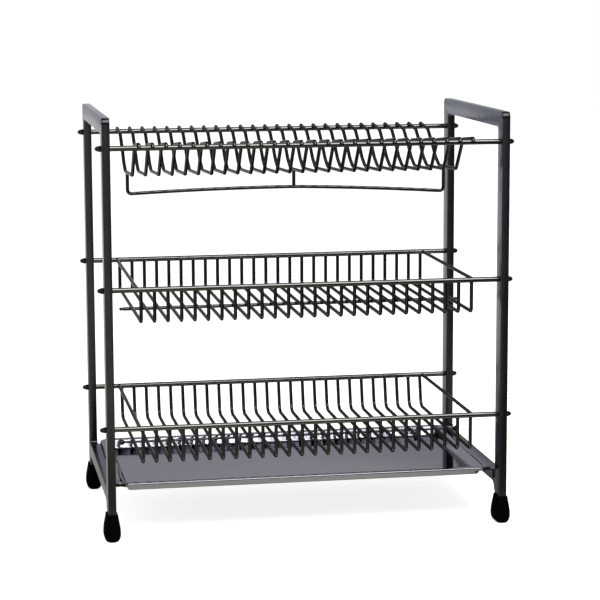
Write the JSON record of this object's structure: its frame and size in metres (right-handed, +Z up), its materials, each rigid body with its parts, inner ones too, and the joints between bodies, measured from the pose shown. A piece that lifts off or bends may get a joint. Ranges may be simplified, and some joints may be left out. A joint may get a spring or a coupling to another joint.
{
  "type": "plate rack",
  "caption": "Free-standing tiered rack of bent steel wires on long rods between tube side frames, with rubber feet, a hanging rail and a slide-out drip tray below.",
  "frame": {"origin": "centre of the rack's footprint, on the surface that the feet stand on", "axes": "+X to the right along the rods, -Y towards the front, +Z up"},
  "size_m": [0.629, 0.373, 0.629],
  "materials": {
    "frame_steel": "polished stainless tube, dark in its reflections, with faint lines along its length",
    "rod_steel": "bright plated rod",
    "wire_steel": "bright plated wire",
    "nut_steel": "plated nut",
    "tray_steel": "pressed stainless sheet, nearly mirror bright, cool grey",
    "foot_rubber": "matte black moulded rubber"
  },
  "bodies": {
    "rack": {"side_frame_left": "frame_steel", "lower_crossbar_left": "frame_steel", "side_frame_right": "frame_steel", "lower_crossbar_right": "frame_steel", "foot_front_left": "foot_rubber", "foot_front_right": "foot_rubber", "foot_rear_left": "foot_rubber", "foot_rear_right": "foot_rubber", "rod_top_front": "rod_steel", "rod_top_rear": "rod_steel", "rod_middle_front": "rod_steel", "rod_middle_rear": "rod_steel", "rod_bottom_front": "rod_steel", "rod_bottom_rear": "rod_steel", "cap_nut_top_front_left": "nut_steel", "cap_nut_top_front_right": "nut_steel", "cap_nut_top_rear_left": "nut_steel", "cap_nut_top_rear_right": "nut_steel", "cap_nut_middle_front_left": "nut_steel", "cap_nut_middle_front_right": "nut_steel", "cap_nut_middle_rear_left": "nut_steel", "cap_nut_middle_rear_right": "nut_steel", "cap_nut_bottom_front_left": "nut_steel", "cap_nut_bottom_front_right": "nut_steel", "cap_nut_bottom_rear_left": "nut_steel", "cap_nut_bottom_rear_right": "nut_steel", "top_wire_01": "wire_steel", "top_wire_02": "wire_steel", "top_wire_03": "wire_steel", "top_wire_04": "wire_steel", "top_wire_05": "wire_steel", "top_wire_06": "wire_steel", "top_wire_07": "wire_steel", "top_wire_08": "wire_steel", "top_wire_09": "wire_steel", "top_wire_10": "wire_steel", "top_wire_11": "wire_steel", "top_wire_12": "wire_steel", "top_wire_13": "wire_steel", "top_wire_14": "wire_steel", "top_wire_15": "wire_steel", "top_wire_16": "wire_steel", "top_wire_17": "wire_steel", "top_wire_18": "wire_steel", "top_wire_19": "wire_steel", "top_wire_20": "wire_steel", "top_wire_21": "wire_steel", "top_wire_22": "wire_steel", "top_wire_23": "wire_steel", "top_wire_24": "wire_steel", "top_wire_25": "wire_steel", "top_wire_26": "wire_steel", "middle_cradle": "wire_steel", "bottom_cradle": "wire_steel", "middle_tie_left": "wire_steel", "middle_tie_right": "wire_steel", "bottom_tie_left": "wire_steel", "bottom_tie_right": "wire_steel", "hanging_rail": "wire_steel"},
    "tray": {"drip_tray": "tray_steel"}
  },
  "joints": [
    {"name": "tray_slide", "type": "slide", "parent": "rack", "child": "tray", "axis": [0, -1, 0], "range_m": [-0.14, 0.14]}
  ]
}
